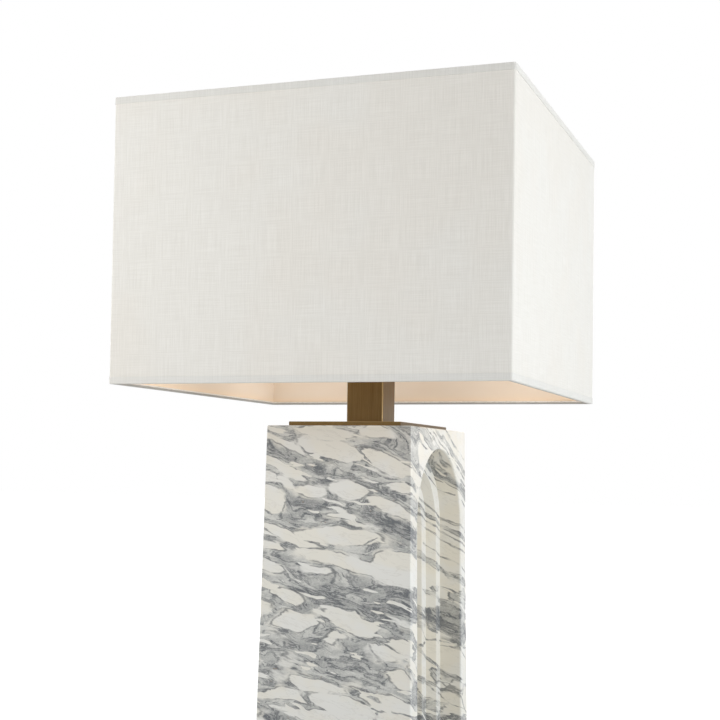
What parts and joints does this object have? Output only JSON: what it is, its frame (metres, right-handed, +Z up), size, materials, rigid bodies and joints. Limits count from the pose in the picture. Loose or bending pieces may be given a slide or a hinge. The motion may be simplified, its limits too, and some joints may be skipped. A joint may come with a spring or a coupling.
{
  "type": "column table lamp",
  "caption": "Table lamp with a tapered marble column carved with nested arches, a square brass neck and a square linen shade on a harp.",
  "frame": {"origin": "centre of the underside of the felt pad, on the table", "axes": "+Z up; -Y is the plain front face of the column, the carved arches face +X and -X, the cord leaves at +Y"},
  "size_m": [0.381, 0.381, 0.7145],
  "materials": {
    "marble": "honed to a soft polish, white with grey veins",
    "felt": "pressed felt",
    "antique_brass": "brushed, antique brown-gold",
    "bright_brass": "satin",
    "plated_steel": "satin zinc plate",
    "aluminium": "bare, rolled",
    "linen": "plain-weave off-white linen",
    "shade_liner": "matte warm white shade backing",
    "hem_tape": "folded linen edge",
    "frame_wire": "white enamel",
    "phenolic": "moulded, black",
    "board": "pressed board",
    "frosted_glass": "frosted",
    "black_glass": "vitreous, black"
  },
  "bodies": {
    "base": {"felt_pad": "felt", "marble_column": "marble", "cord_bushing": "phenolic", "base_washer": "plated_steel", "base_nut": "plated_steel", "lamp_pipe": "plated_steel", "top_plate": "antique_brass", "neck_tube": "antique_brass", "neck_locator": "plated_steel", "neck_cap": "antique_brass", "harp_saddle": "bright_brass", "lock_washer": "plated_steel", "saddle_nut": "plated_steel", "harp": "bright_brass", "socket_cap": "bright_brass", "socket_shell": "bright_brass", "socket_liner": "board", "socket_body": "phenolic", "terminal_screws": "bright_brass", "centre_contact": "bright_brass", "screw_shell": "bright_brass"},
    "shade": {"shade_fabric": "linen", "shade_liner": "shade_liner", "bottom_hem": "hem_tape", "top_hem": "hem_tape", "back_seam": "hem_tape", "bottom_frame": "frame_wire", "top_frame": "frame_wire", "shade_hub": "frame_wire"},
    "finial": {"finial": "antique_brass"},
    "switch": {"switch_shaft": "phenolic", "switch_key": "phenolic"},
    "bulb": {"bulb_contact": "plated_steel", "bulb_insulator": "black_glass", "bulb_cap": "aluminium", "bulb_globe": "frosted_glass"},
    "sleeve_left": {"harp_sleeve_left": "bright_brass"},
    "sleeve_right": {"harp_sleeve_right": "bright_brass"}
  },
  "joints": [
    {"name": "shade_turn", "type": "hinge", "parent": "base", "child": "shade", "pos_m": [0, 0, 0.6866], "axis": [0, 0, 1], "continuous": true},
    {"name": "finial_turn", "type": "hinge", "parent": "base", "child": "finial", "pos_m": [0, 0, 0.6895], "axis": [0, 0, 1], "continuous": true},
    {"name": "switch_turn", "type": "hinge", "parent": "base", "child": "switch", "pos_m": [0.022, 0, 0.5108], "axis": [1, 0, 0], "continuous": true},
    {"name": "bulb_turn", "type": "hinge", "parent": "base", "child": "bulb", "pos_m": [0, 0, 0.5229], "axis": [0, 0, 1], "continuous": true},
    {"name": "sleeve_left_slide", "type": "slide", "parent": "base", "child": "sleeve_left", "axis": [0, 0, 1], "range_m": [0, 0.012]},
    {"name": "sleeve_right_slide", "type": "slide", "parent": "base", "child": "sleeve_right", "axis": [0, 0, 1], "range_m": [0, 0.012]}
  ]
}
